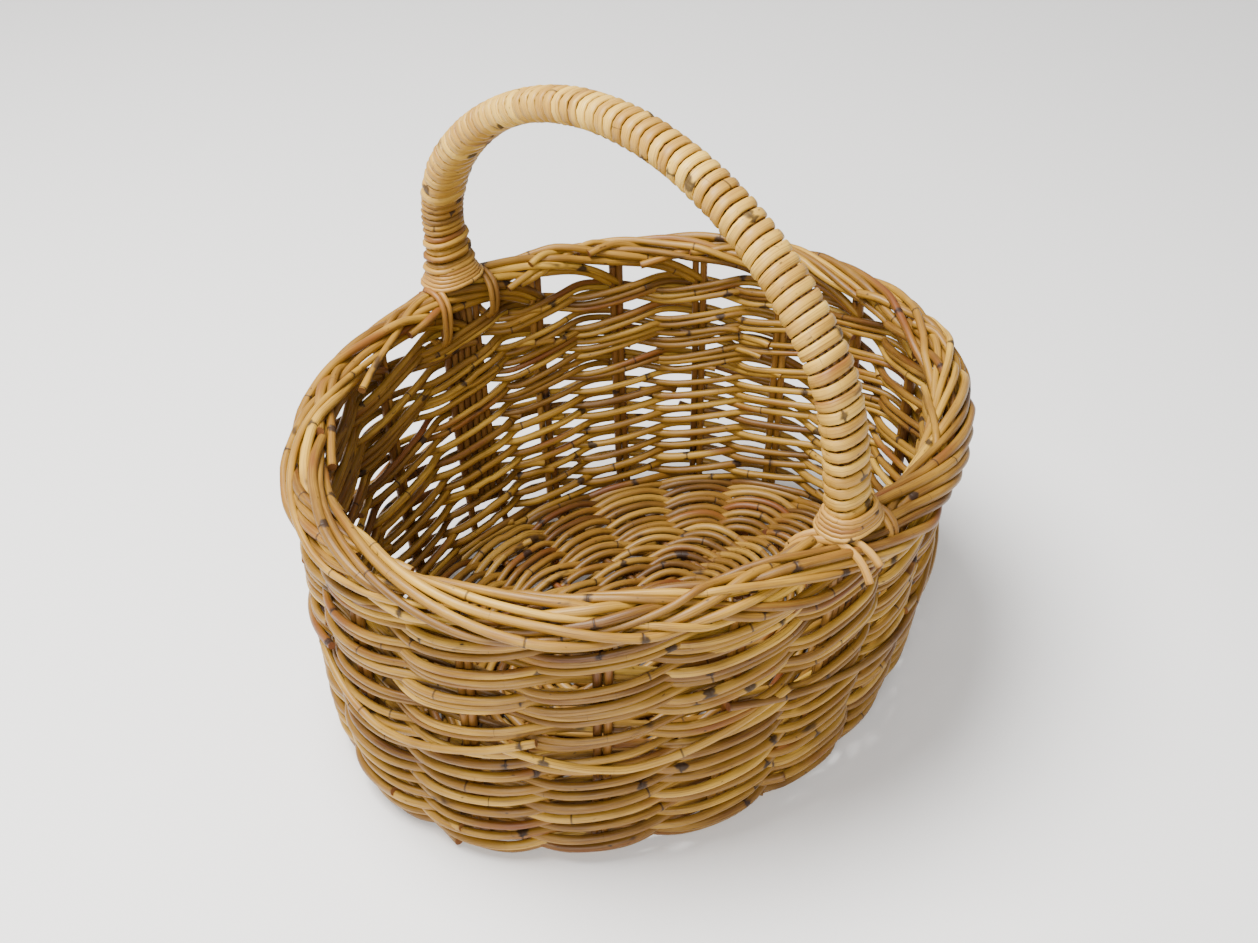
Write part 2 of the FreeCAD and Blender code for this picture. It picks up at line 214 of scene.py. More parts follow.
def wander(length, scale, amount):
    """A smooth random curve with a new value every `scale`, which can be read at any distance."""
    knots = rng.normal(0, amount, int(length / scale) + 4)
    knots = np.convolve(knots, [0.25, 0.5, 0.25], "same")

    def read(distance):
        return np.interp(np.asarray(distance) / scale, np.arange(len(knots)), knots)
    return read


# %% Even steps along a path
STEP = 4.5 * MM


def run_along(path):
    """The distance along a path at each of its points."""
    return np.concatenate([[0], np.cumsum(np.linalg.norm(np.diff(path, axis=0), axis=1))])


def even_steps(path):
    """The same path with its points evenly spaced, and the distance along it at each."""
    run = run_along(path)
    count = max(4, int(run[-1] / STEP) + 1)
    even = np.linspace(0, run[-1], count)
    return np.stack([np.interp(even, run, path[:, i]) for i in range(3)], -1), even


def carried_frames(path):
    """Two directions across the path at each point, carried along it without twisting."""
    along = np.gradient(path, axis=0)
    along /= np.linalg.norm(along, axis=1)[:, None]
    start = np.array([0, 0, 1.0]) if abs(along[0][2]) < 0.8 else np.array([1.0, 0, 0])
    first = [start - along[0] * start.dot(along[0])]
    for direction in along[1:]:
        moved = first[-1] - direction * first[-1].dot(direction)
        first.append(moved / np.linalg.norm(moved))
    first = np.array(first)
    return first, np.cross(along, first)


# %% Roll one cane
SIDES = 10
BOXY = 0.85                    # below 1, a flat cane has flatter faces and tighter edges
SEAM = 1e-6                    # edges nearer than this are sewn together
KNUCKLE = 0.07                 # the share by which a cane swells at a joint
KNUCKLE_LENGTH = 2.2 * MM
UNEVEN = 0.035                 # the share by which its thickness wanders
UNEVEN_LENGTH = 20 * MM
FIELDS = ("tone", "joint", "cut")


class Bench:
    """Where the canes of one piece are made and joined into one mesh."""

    def __init__(self, name):
        self.name = name
        self.mesh = bmesh.new()
        self.grain = self.mesh.verts.layers.float_vector.new("grain")
        self.fields = {f: self.mesh.verts.layers.float.new(f) for f in FIELDS}
        self.canes = 0

    def roll(self, path, radius, tone=None, sides=SIDES, frames=None, flat=None):
        """One cane along a path.

        `frames` gives the two directions across it, and `flat` squashes it to that share of
        its width along the first of them.
        """
        path, run = even_steps(np.asarray(path, float))
        across, side = carried_frames(path) if frames is None else frames(path)
        tone = rng.uniform() if tone is None else tone
        joint = joint_distance(run)
        cut = np.minimum(run, run[-1] - run)
        swell = 1 + KNUCKLE * np.exp(-(joint / KNUCKLE_LENGTH) ** 2)
        thick = radius * swell * (1 + UNEVEN * wander(run[-1], UNEVEN_LENGTH, 1.0)(run))
        around = np.linspace(0, 2 * math.pi, sides + 1)
        up, over = np.cos(around), np.sin(around)
        squash = 1.0 if flat is None else flat
        if flat is not None:
            up, over = (np.sign(v) * np.abs(v) ** BOXY for v in (up, over))
        shell = (path[:, None] + across[:, None] * (up[:, None] * squash * thick[:, None, None])
                 + side[:, None] * (over[:, None] * thick[:, None, None]))
        sheet = bmesh.ops.create_grid(self.mesh, x_segments=sides,
                                      y_segments=len(path) - 1, size=1.0)
        shift = rng.uniform(-1, 1, 3)
        rows = zip(shell.reshape(-1, 3).tolist(), np.tile(around, len(path)),
                   *(np.repeat(values, sides + 1) for values in (run, joint, cut)))
        for vert, (place, angle, s, j, c) in zip(sheet["verts"], rows):
            vert.co = place
            vert[self.grain] = (shift[0] + radius * math.cos(angle),
                                shift[1] + radius * math.sin(angle), shift[2] + s)
            vert[self.fields["tone"]] = tone
            vert[self.fields["joint"]] = j
            vert[self.fields["cut"]] = c
        self.canes += 1

    def finish(self, slot, *nodes):
        """Sews every seam, closes the ends and makes an object that stands for its nodes."""
        bmesh.ops.remove_doubles(self.mesh, verts=self.mesh.verts, dist=SEAM)
        ends = [e for e in self.mesh.edges if e.is_boundary]
        caps = bmesh.ops.holes_fill(self.mesh, edges=ends, sides=0)["faces"]
        bmesh.ops.recalc_face_normals(self.mesh, faces=self.mesh.faces)
        for face in self.mesh.faces:
            face.smooth = True
        for cap in caps:
            cap.smooth = False
            for edge in cap.edges:
                edge.smooth = False
        data = bpy.data.meshes.new(self.name)
        self.mesh.to_mesh(data)
        self.mesh.free()
        piece = bpy.data.objects.new(self.name, data)
        bpy.context.scene.collection.objects.link(piece)
        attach(piece, "root")
        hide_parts(*nodes)
        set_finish(piece, slot)
        print("%-26s %3d canes %6d faces" % (self.name, self.canes, len(data.polygons)))


# %% Joints along a cane
FAR = 50 * MM
JOINT_SPACING = (70 * MM, 210 * MM)


def joint_distance(run):
    """Signed distance to the nearest joint at each distance along a cane."""
    places = [rng.uniform(-JOINT_SPACING[0], JOINT_SPACING[0])]
    while places[-1] < run[-1] + FAR:
        places.append(places[-1] + rng.uniform(*JOINT_SPACING))
    gaps = run[:, None] - np.array(places)[None]
    nearest = np.abs(gaps).argmin(1)
    return gaps[np.arange(len(run)), nearest]


# %% [markdown]
# ## Pairing, the lower wall
# Pairing is the plainest twined weave. Two weavers start behind neighbouring stakes, and cross
# in every space, so that there is always one outside and one inside each stake. Seen along the
# wall a weaver is a flattened corkscrew, which is just a cosine outwards and a sine upwards.
# Weavers are short, so each round is several canes, and their blunt ends show. They pass each
# other by a little, one above the other, and no two of them rise and fall quite alike.

# %% The corkscrew of a twined weaver
GRIP = 1.15                    # how closely a weaver lies against a stake
LEG_GRIP = 1.3                 # and how much more closely against the handle's wide leg
STIFF = 0.93                   # near 1, a cane crosses a space in a straight slant


def hug(count, amount):
    """`amount` outwards at each even stake and inwards at each odd one."""
    grip = GRIP + LEG_GRIP * handle_nearness(count)
    return amount * np.tanh(grip * np.cos(math.pi * count)) / np.tanh(grip)


def slant(count):
    """A sine with straightened slopes, because a stiff cane doesn't bend between stakes."""
    return np.arcsin(STIFF * np.sin(math.pi * count)) / math.asin(STIFF)


def twined(count, height, first, rise, lean=0.0, late=0.0):
    """A weaver's path.

    `first` is +1 or -1, for outside or inside at stake 0, `rise` is its lift where it crosses
    another, `lean` moves it outwards, and `late` moves where it meets the stakes, in spaces.
    """
    out = hug(count + late, first * REACH) + lean
    lift = -first * rise * slant(count)
    return wall_point(count, height + lift, out)


# %% Cut a round into canes
CANE_LENGTH = (5.0, 13.0)      # in spaces between stakes
SHORTEST = 0.7 * CANE_LENGTH[0]
PAST_STAKE = (0.15, 0.45)      # a cane ends this far past a stake, in spaces
LAP = 0.30                     # how far the ends of two canes pass each other, in spaces
END_REACH = 0.25               # the last part of a cane that is moved aside there, in spaces


def cane_spans():
    """Where each cane of one weaver starts and ends, in stakes, and once round the basket."""
    cuts = [rng.uniform(0, STAKES)]
    while cuts[-1] - cuts[0] < STAKES - CANE_LENGTH[0]:
        cuts.append(round(cuts[-1]) + rng.uniform(*CANE_LENGTH) + rng.uniform(*PAST_STAKE))
    cuts = [c for c in cuts if c - cuts[0] < STAKES - SHORTEST]
    ends = cuts[1:] + [cuts[0] + STAKES]
    return list(zip(cuts, ends))


def ends_apart(count, start, stop, amount):
    """Moves the last few millimetres of a cane aside, so that it passes the next cane's end."""
    near_start = np.clip(1 - (count - start) / END_REACH, 0, 1) ** 2
    near_stop = np.clip(1 - (stop - count) / END_REACH, 0, 1) ** 2
    return amount * (near_start - near_stop)


# %% Lay one weaver all the way round
POINTS_PER_SPACE = 16
SWAY = (1.1, 1.1 * MM)         # a round goes up and down by this much: spaces per turn, amount
WOBBLE = (0.8, 0.85 * MM)      # one cane of it goes up and down by this much more
STRAY = (0.6, 0.5 * MM)        # and in and out by this much
ASIDE = 2.8 * MM               # two ends that pass each other are moved apart by this much
LATE = 0.07                    # most that a cane meets the stakes early or late, in spaces
VARIED_LAP = (0.4, 1.6)
VARIED_RISE = (0.85, 1.15)
VARIED_THICKNESS = (0.88, 1.1)


def weave_round(bench, height, first, rise, offset, radius, missing=0.0, lean=0.0):
    """One weaver, laid as several canes. `missing` is the share of them left out."""
    sway = wander(STAKES, *SWAY)
    for start, stop in cane_spans():
        if rng.uniform() < missing:
            continue
        start -= LAP * rng.uniform(*VARIED_LAP)
        stop += LAP * rng.uniform(*VARIED_LAP)
        count = np.linspace(start, stop, int((stop - start) * POINTS_PER_SPACE) + 2)
        wobble = wander(stop - start, *WOBBLE)(count - start)
        aside = ends_apart(count, start, stop, ASIDE)
        level = height + offset + sway(count % STAKES) + wobble + aside
        stray = wander(stop - start, *STRAY)(count - start) + 0.5 * aside
        late = rng.uniform(-LATE, LATE)
        lift = rise * rng.uniform(*VARIED_RISE)
        path = twined(count, level, first, lift, lean + stray, late)
        bench.roll(path, radius * rng.uniform(*VARIED_THICKNESS))


# %% Lower rounds
WEAVER = 2.7 * MM


def pairing(bench, node):
    """One round of twined weave with a single weaver on each side."""
    for first in (1, -1):
        weave_round(bench, middle_of(node).z, first, WEAVER, 0.0, WEAVER)


LOWER_NODES = sorted(n for n in frame["nodes"] if n.startswith("lower_weave_round"))
for node in LOWER_NODES[:-1]:
    bench = Bench(node + "_canes")
    pairing(bench, node)
    bench.finish("weave_cane", node)

# %% [markdown]
# ## The upper wall
# Higher up thinner weavers are laid in twos and threes, side by side, so the bands are wider
# and so are the openings between them. Where the two kinds of weaving meet, a few long canes
# wander across from one to the other.

# %% Upper rounds
THIN_WEAVER = 2.3 * MM
BAND_OFFSETS = (-1.0 * THIN_WEAVER, 1.0 * THIN_WEAVER, 2.9 * THIN_WEAVER)
BAND_MISSING = (0.0, 0.0, 0.62)
BAND_RISE = 2.1 * THIN_WEAVER


def banded(bench, node):
    """One round of twined weave with two or three weavers on each side."""
    for first in (1, -1):
        for offset, missing in zip(BAND_OFFSETS, BAND_MISSING):
            weave_round(bench, middle_of(node).z, first, BAND_RISE, offset, THIN_WEAVER, missing)


UPPER_NODES = sorted(n for n in frame["nodes"] if n.startswith("upper_weave_round"))
for node in UPPER_NODES[1:]:
    bench = Bench(node + "_canes")
    banded(bench, node)
    bench.finish("weave_cane", node)

# %% Where the lower and the upper weave meet
EXTRA_AT = 0.42                # one more thin round, at this share of the way up the gap
EXTRA_MISSING = 0.3
WANDERERS = 9
WANDERER_LENGTH = (2.0, 3.6)   # in spaces
LOWEST_DIP = 3 * MM            # above the lower weave
CLEAR = 0.8 * MM               # of the other canes, and at its middle it bows out by more
WANDERER_BOW = 2.8 * MM
bench = Bench("wall_middle_canes")
pairing(bench, LOWER_NODES[-1])
banded(bench, UPPER_NODES[0])
low_z, high_z = middle_of(LOWER_NODES[-1]).z, middle_of(UPPER_NODES[0]).z
extra_z = low_z + EXTRA_AT * (high_z - low_z)
for first in (1, -1):
    weave_round(bench, extra_z, first, WEAVER, 0.0, THIN_WEAVER, EXTRA_MISSING)
for i in range(WANDERERS):
    start = STAKES * (i + rng.uniform(-0.3, 0.3)) / WANDERERS
    length = rng.uniform(*WANDERER_LENGTH)
    t = np.linspace(0, 1, int(length * POINTS_PER_SPACE))
    dip = rng.uniform(0.35, 0.65)
    fall = np.abs(t - dip) / max(dip, 1 - dip)
    level = low_z + LOWEST_DIP + (high_z - low_z) * (fall ** 1.4 * rng.uniform(0.8, 1.3))
    level += wander(1, 0.2, 0.8 * MM)(t)
    out = REACH + CLEAR + WANDERER_BOW * np.sin(math.pi * np.clip(t * 1.1 - 0.05, 0, 1))
    bench.roll(wall_point(start + length * t, level, out), THIN_WEAVER)
bench.finish("weave_cane", LOWER_NODES[-1], UPPER_NODES[0])

# %% [markdown]
# ## Stakes
# The stakes are the upright ribs. They stand in pairs, start in the base, turn up at the foot
# and end inside the border.

# %% Stakes from the base to the border
STAKE_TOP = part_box("stake_pair_02")[1].z
TAIL = 46 * MM                 # how far a stake reaches under the base
BESIDE_LEG = 12.9 * MM         # the stakes beside the handle's legs stand this far out
BESIDE_EACH_OTHER = STAKE * 1.03
STAKE_BOW = (0.04, 0.5 * MM)   # a stake isn't quite straight: metres per turn, amount
for k in range(STAKES):
    node = "stake_pair_%02d" % (k + 1)
    bench = Bench(node + "_canes")
    spread = BESIDE_LEG if k in HANDLE_STAKES else BESIDE_EACH_OTHER
    heights = np.arange(TURNED - TAIL, STAKE_TOP, 4 * MM)
    middle = wall_point(k, heights)
    sideways = wall_point(k + 0.01, STAKE_TOP) - wall_point(k - 0.01, STAKE_TOP)
    sideways /= np.linalg.norm(sideways)
    for side in (-1, 1):
        bow = wander(0.3, *STAKE_BOW)(heights - heights[0])
        path = middle + sideways * (side * spread + bow)[:, None]
        bench.roll(path, STAKE * rng.uniform(0.95, 1.05))
    bench.finish("stake_cane", node)

# %% [markdown]
# ## The base
# The base is the same weave, laid flat. Its rounds carry on where the wall's left off, past the
# turn at the foot and in towards the middle, so each weaver humps up over one spoke and dives
# under the next. Near the middle there is no room for eighteen spokes. The innermost rounds
# rise and fall at even steps there, which only roughly match the parallel base sticks.

# %% Rounds round the foot
FOOT_HEIGHT = 7.8 * MM
FOOT_LEAN = 1.6 * MM           # the lowest round sits proud of the turn
FOOT_RISE = 0.5 * WEAVER
bench = Bench("foot_cane_rounds")
for first in (1, -1):
    weave_round(bench, FOOT_HEIGHT, first, FOOT_RISE, 0.0, WEAVER, lean=FOOT_LEAN)
bench.finish("base_cane", "foot_cane")

# %% Rounds of the base
BASE_WEAVER = 2.6 * MM
BASE_PITCH = 8.1 * MM
BASE_INSET = 4.5 * MM          # from the end of the turn to the first round
BASE_START = TURNED - BASE_INSET
BASE_RISE = 0.9 * BASE_WEAVER
BASE_NODES = {"base_weave_outer": range(0, 3), "base_weave_middle": range(3, 6)}
for node, rounds in BASE_NODES.items():
    bench = Bench(node + "_canes")
    for i in rounds:
        for first in (1, -1):
            height = BASE_START - i * BASE_PITCH
            weave_round(bench, height, first, BASE_RISE, 0.0, BASE_WEAVER)
    bench.finish("base_cane", node)


# %% Innermost rounds, round the parallel sticks
ONCE_ROUND = 1.04              # a round passes its own start by a little
STICK_SPACING = 42 * MM        # between one crossing and the next
SMALLEST = 4 * MM


def middle_round(half_length, half_width, crossings, first):
    """A flat round that rises and falls `crossings` times, at even steps."""
    share = np.linspace(0, ONCE_ROUND, int(ONCE_ROUND * crossings * POINTS_PER_SPACE))
    spot, outward = along_oval(half_length, half_width, share)
    wave = math.pi * crossings * share
    spot = spot + outward * (first * BASE_RISE * np.sin(wave))[:, None]
    spot[:, 2] = BASE_Z + first * REACH * np.cos(wave)
    return spot


BASE_A, BASE_B = [c - BEND for c in wall_axes(BASE_Z)]
REACHED = 6 * BASE_PITCH + BASE_INSET
bench = Bench("base_weave_inner_canes")
half_length, half_width = BASE_A - REACHED, BASE_B - REACHED
while half_width > SMALLEST:
    perimeter = 2 * math.pi * math.sqrt((half_length ** 2 + half_width ** 2) / 2)
    crossings = 2 * round(perimeter / (2 * STICK_SPACING))
    for first in (1, -1):
        bench.roll(middle_round(half_length, half_width, crossings, first), BASE_WEAVER)
    half_length, half_width = half_length - BASE_PITCH, half_width - BASE_PITCH
bench.finish("base_cane", "base_weave_inner")

# %% Base sticks
SHORTER_AT_SIDES = 0.3         # the sticks end on an oval, so the outer ones are shorter
STICK_POINTS = 30
STICK_ROLLED = STAKE * 0.97
STICKS = (("base_cross_sticks", 1, 0, 5), ("base_long_sticks", 0, 1, 4))
for node, along, across, sticks in STICKS:
    bench = Bench(node + "_canes")
    low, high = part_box(node)
    half = (high - low)[across] / 2 - STAKE
    for place in np.linspace(-half, half, sticks):
        shorter = math.sqrt(1 - SHORTER_AT_SIDES * (place / half) ** 2)
        reach = (high - low)[along] / 2 * shorter
        for beside in (-1, 1):
            path = np.zeros((STICK_POINTS, 3))
            path[:, along] = np.linspace(-reach, reach, STICK_POINTS)
            path[:, across] = place + beside * STAKE
            path[:, 2] = BASE_Z
            bench.roll(path, STICK_ROLLED)
    bench.finish("stick_cane", node)

# %% [markdown]
# ## The border
# At the rim each pair of stakes, some with one more cane pushed in beside them, is bent over
# and becomes border. It passes inside the next stake, over the top and down the outside of two
# more, then rises again over the top and ends inside. Eighteen groups doing this one after
# another make a loose plait, in which half of the canes slope one way and half the other.
# Their path is given roughly as stations across the rim, and then the canes push each other
# apart, as they do when a maker pulls them tight. A millimetre or two of overlap is left.

# %% Stations of one border cane
ROLL_Z = middle_of("border_outer_canes").z + 3.0 * MM     # height of the roll's middle
BORDER_CANE = 2.6 * MM
SMOOTHINGS = 6
STATIONS = np.array([
    # spaces along, out (mm), up from the middle of the roll (mm)
    (0.00, 0.0, -19.0), (0.12, -0.5, -9.0), (0.35, -4.0, -2.0), (0.90, -8.0, 4.5),
    (1.50, -4.5, 9.5), (2.10, 3.5, 10.5), (2.70, 10.0, 5.5), (3.20, 12.0, -2.5),
    (3.70, 10.5, -5.5), (4.20, 8.0, 1.5), (4.70, 2.0, 9.0), (5.30, -6.5, 8.0),
    (5.90, -11.5, 0.0)])


def smooth_through(stations, samples):
    """A smooth path through stations, read at many places along it."""
    at = np.linspace(stations[0, 0], stations[-1, 0], samples)
    read = np.stack([np.interp(at, stations[:, 0], stations[:, i]) for i in (1, 2)], -1)
    for _ in range(SMOOTHINGS):
        read[1:-1] = (read[:-2] + 2 * read[1:-1] + read[2:]) / 4
    return at, read


def rim_point(count, out, up):
    """Points of the border, set out from the roll's middle."""
    return wall_point(count, ROLL_Z + up, out)


print("a border cane passes %.1f stakes" % STATIONS[-1, 0])

# %% Let the canes find room
NEAR = 2.1                     # how far away another cane is looked for, in cane radii
MOST_PUSH = 1.5 * MM
PULL_HOME = 0.02
KEPT = 0.6                     # the share of each point that stays: the rest is its neighbours


def settle(canes, thickness, fixed, fixed_thickness, rounds):
    """Pushes canes apart where they overlap, but keeps them smooth and near their first lay."""
    sizes = [len(c) for c in canes]
    owner = np.concatenate([np.repeat(np.arange(len(canes)), sizes), np.full(len(fixed), -1)])
    radius = np.concatenate([np.repeat(thickness, sizes), np.full(len(fixed), fixed_thickness)])
    points = np.concatenate(canes)
    home = points.copy()
    edges = np.cumsum([0] + sizes)
    for turn in range(rounds):
        everything = np.concatenate([points, fixed])
        tree = KDTree(len(everything))
        for i, p in enumerate(everything):
            tree.insert(p, i)
        tree.balance()
        push = np.zeros_like(points)
        for i in range(len(points)):
            for _, j, away in tree.find_range(points[i], radius[i] * NEAR):
                need = radius[i] + radius[j] - away
                if owner[j] != owner[i] and need > 0 and away > 1e-7:
                    push[i] += (points[i] - everything[j]) * (0.5 * need / away)
        points = points + np.clip(push, -MOST_PUSH, MOST_PUSH) + PULL_HOME * (home - points)
        for a, b in zip(edges[:-1], edges[1:]):
            cane = points[a:b].copy()
            cane[1:-1] = cane[1:-1] * KEPT + (cane[:-2] + cane[2:]) * (1 - KEPT) / 2
            points[a:b] = cane
    return [points[a:b] for a, b in zip(edges[:-1], edges[1:])]


# %% Lay the border
SAMPLES = 70
VARIED_LENGTH = (0.9, 1.08)
LOOSE = 1.6                    # how far a group strays from its stations, in mm
MOST_BOW = 5.0                 # a few groups stand out this far more at the outside, in mm
TWO_CANES = 0.6                # the share of groups that have two canes and not three
APART = 1.25 * BORDER_CANE / MM
SPREAD = BORDER_CANE / (60 * MM)
SHORTENED = 14                 # most samples cut from a cane's end
CANE_STRAY = (14, 1.4)         # one cane of a group strays too: samples per turn, mm
STRAIGHT_START = 4             # samples that keep to the stake
VARIED_BORDER = (0.82, 1.12)
SETTLING = 24
laid, thickness, owners = [], [], []
for k in range(STAKES):
    reach = STATIONS.copy()
    reach[:, 0] *= rng.uniform(*VARIED_LENGTH)
    reach[4:, 1:] += rng.normal(0, LOOSE, reach[4:, 1:].shape)
    reach[6:9, 1] += rng.uniform(0, 1) ** 3 * MOST_BOW
    at, read = smooth_through(reach, SAMPLES)
    motion = np.gradient(read, axis=0)
    motion /= np.maximum(np.linalg.norm(motion, axis=1), 1e-9)[:, None]
    for side in (-1, 1) if rng.uniform() < TWO_CANES else (-1, 0, 1):
        stop = SAMPLES - int(rng.integers(0, SHORTENED))
        strays = [wander(SAMPLES, *CANE_STRAY)(np.arange(SAMPLES)) for _ in ("out", "up")]
        shifted = read + motion * side * APART + np.stack(strays, -1)
        shifted[:STRAIGHT_START] = read[:STRAIGHT_START]
        spread = side * np.interp(at, [0, 0.3], [1.0, 0.2]) * SPREAD
        path = rim_point(k - at + spread, shifted[:, 0] * MM, shifted[:, 1] * MM)
        laid.append(path[:stop])
        owners.append(k)
        thickness.append(BORDER_CANE * rng.uniform(*VARIED_BORDER))
leg_heights, leg_places = np.arange(-20, 14, 4.0) * MM, np.arange(-12.5, 13, 5) * MM
legs = np.concatenate([rim_point(h, 0, leg_heights) + np.array([x, 0, 0])
                       for h in HANDLE_STAKES for x in leg_places])
settled = settle(laid, thickness, legs, STAKE, SETTLING)
print("border canes laid:", len(settled), "points:", sum(len(c) for c in settled))

# %% Roll the border's canes
GROUPS = {"border_outer_canes": range(0, 6), "border_top_cane": range(6, 12),
          "border_inner_canes": range(12, 18)}
for node, stakes in GROUPS.items():
    bench = Bench(node + "_plait")
    for path, radius, k in zip(settled, thickness, owners):
        if k in stakes:
            bench.roll(path, radius)
    bench.finish("border_cane", node)

# %% [markdown]
# ## The handle
# A bundle of straight canes runs up from inside the wall, over in an arch, and down the other
# side. It is bound with a flat, split cane, wound tightly from one foot to the other. A bent
# bundle is never quite even, so the arch stands over to its far side a little.

# %% The handle's arch
ARCH_SPAN = half_size("handle_core_canes").y - STAKE
ARCH_DEPTH = 12 * MM           # from the top of the wrapping to the middle of the core
ARCH_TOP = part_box("handle_wrapping")[1].z - ARCH_DEPTH
WRAP_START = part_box("handle_wrapping")[0].z
SHOULDER_Z = 240 * MM          # where the straight legs start to turn
SHOULDER = 95 * MM             # radius of that turn
ARCH_LEAN = 11 * MM
LEAN_FROM = 165 * MM
LEAN_OVER = 100 * MM
ARCH_STEP = 2 * MM


def arch_lean(z):
    """How far the arch has moved over at height z."""
    t = np.clip((z - LEAN_FROM) / LEAN_OVER, 0, 1)
    return ARCH_LEAN * t * t * (3 - 2 * t)


def arch_line(foot, x=0.0, out=0.0):
    """The handle's line from far foot to near foot, and its direction away from the inside.

    The line can be moved by x across the handle and by `out` away from the inside.
    """
    rise, inner = ARCH_TOP - SHOULDER_Z, ARCH_SPAN - SHOULDER
    crown = (inner ** 2 + rise ** 2 - SHOULDER ** 2) / (2 * (rise - SHOULDER))
    middle = ARCH_TOP - crown
    joint = math.atan2(SHOULDER_Z - middle, inner)
    leg = np.arange(foot, SHOULDER_Z, ARCH_STEP)
    turn = np.arange(0, joint, ARCH_STEP / SHOULDER)
    over = np.arange(joint, math.pi / 2, ARCH_STEP / crown)
    y = np.concatenate([np.full(len(leg), ARCH_SPAN + out),
                        inner + (SHOULDER + out) * np.cos(turn),
                        (crown + out) * np.cos(over), [0]])
    z = np.concatenate([leg, SHOULDER_Z + (SHOULDER + out) * np.sin(turn),
                        middle + (crown + out) * np.sin(over), [ARCH_TOP + out]])
    angle = np.concatenate([np.zeros(len(leg)), turn, over, [math.pi / 2]])
    line = np.stack([np.full(len(y), x), y, z], -1)
    away = np.stack([np.zeros(len(y)), np.cos(angle), np.sin(angle)], -1)
    mirror = np.array([1, -1, 1])
    line = np.concatenate([line, line[-2::-1] * mirror])
    line[:, 1] += arch_lean(line[:, 2])
    return line, np.concatenate([away, away[-2::-1] * mirror])


handle_line, handle_away = arch_line(WRAP_START)
handle_run = run_along(handle_line)
print("wrapped length %.0f mm" % (handle_run[-1] / MM))

# %% Core canes
CORE = half_size("handle_core_canes").x / 4
CORE_SPACING = CORE * 1.02
CORE_ROLLED = CORE * 0.98
CORE_SIDES = 8
LAYER = 2.05 * CORE * math.sqrt(3) / 2
LEG_FOOT = 36 * MM             # the lowest that the legs reach in the wall
bench = Bench("handle_core_canes_long")
for x in (-3, -1, 1, 3):
    leg_z = np.arange(LEG_FOOT, WRAP_START, 6 * MM)
    leg = wall_point(0, leg_z) + np.array([x * CORE_SPACING, 0, 0])
    arch, _ = arch_line(WRAP_START, x * CORE_SPACING)
    shift = np.stack([0 * leg_z, arch_lean(leg_z), 0 * leg_z], -1)
    near_leg = leg * np.array([1, -1, 1]) + shift
    path = np.concatenate([leg + shift, arch, near_leg[::-1]])
    bench.roll(path, CORE_ROLLED, sides=CORE_SIDES)
bench.finish("core_cane", "handle_core_canes")
for node, layer in (("handle_outer_liner", LAYER), ("handle_inner_liner", -LAYER)):
    bench = Bench(node + "_canes")
    for x in (-2, 0, 2):
        path, _ = arch_line(WRAP_START, x * CORE_SPACING, layer)
        bench.roll(path, CORE_ROLLED, sides=CORE_SIDES)
    bench.finish("core_cane", node)

# %% [markdown]
# ## The wrapping
# A binding like this is one long strip, wound turn against turn, so it is made as one flat
# cane whose path is a coil round the arch's line. Its flat side has to face the handle all
# the way, so its directions are taken from that line. Towards the far foot the strip gives
# way to thinner round cane, wound loosely over the spread legs.

# %% A coil round the handle
WRAP_HALF = np.array([half_size("handle_wrapping").x, 10 * MM])
SQUARENESS = 2.6               # 2 is an ellipse, and more has fuller corners
TAPER = ((0.0, 0.15, 0.35, 0.55, 0.78, 1.0),          # share of the way from the far foot
         (1.10, 1.10, 0.95, 0.91, 0.97, 1.02))        # the handle is stouter at its feet
FLARE = 0.42                   # how much it spreads at the very foot
FLARE_LENGTH = 26 * MM
COIL_STEP = math.radians(18)


def section_point(angle, half):
    """A point on the handle's rounded section: across it, and away from the arch's inside."""
    power = 2 / SQUARENESS
    c, s = np.cos(angle), np.sin(angle)
    return half[0] * np.sign(c) * np.abs(c) ** power, half[1] * np.sign(s) * np.abs(s) ** power


def wound(start, stop, pitch, half, loose):
    """A line wound round the handle from `start` to `stop`, measured from the far foot."""
    angle = np.arange(0, (stop - start) / pitch * 2 * math.pi, COIL_STEP)
    wound_run = pitch * angle / (2 * math.pi)
    at = start + wound_run + loose * wander(stop - start, pitch * 0.8, 1.0)(wound_run)
    spot, up = (np.stack([np.interp(at, handle_run, values[:, i]) for i in range(3)], -1)
                for values in (handle_line, handle_away))
    across, over = section_point(angle, half)
    flare = FLARE * np.clip(1 - at / FLARE_LENGTH, 0, 1) ** 1.5
    spread = np.interp(at / handle_run[-1], *TAPER) + flare
    offset = np.array([1.0, 0, 0]) * across[:, None] + up * over[:, None]
    return spot + offset * spread[:, None]


# %% Which way a strip faces
handle_tree = KDTree(len(handle_line))
for number, point in enumerate(handle_line):
    handle_tree.insert(point, number)
handle_tree.balance()


def facing_handle(path):
    """The directions of a wound strip: away from the handle's line, and along the handle."""
    along = np.gradient(path, axis=0)
    along /= np.linalg.norm(along, axis=1)[:, None]
    out = path - np.array([handle_tree.find(p)[0] for p in path])
    out -= along * (out * along).sum(1)[:, None]
    out /= np.linalg.norm(out, axis=1)[:, None]
    return out, np.cross(along, out)


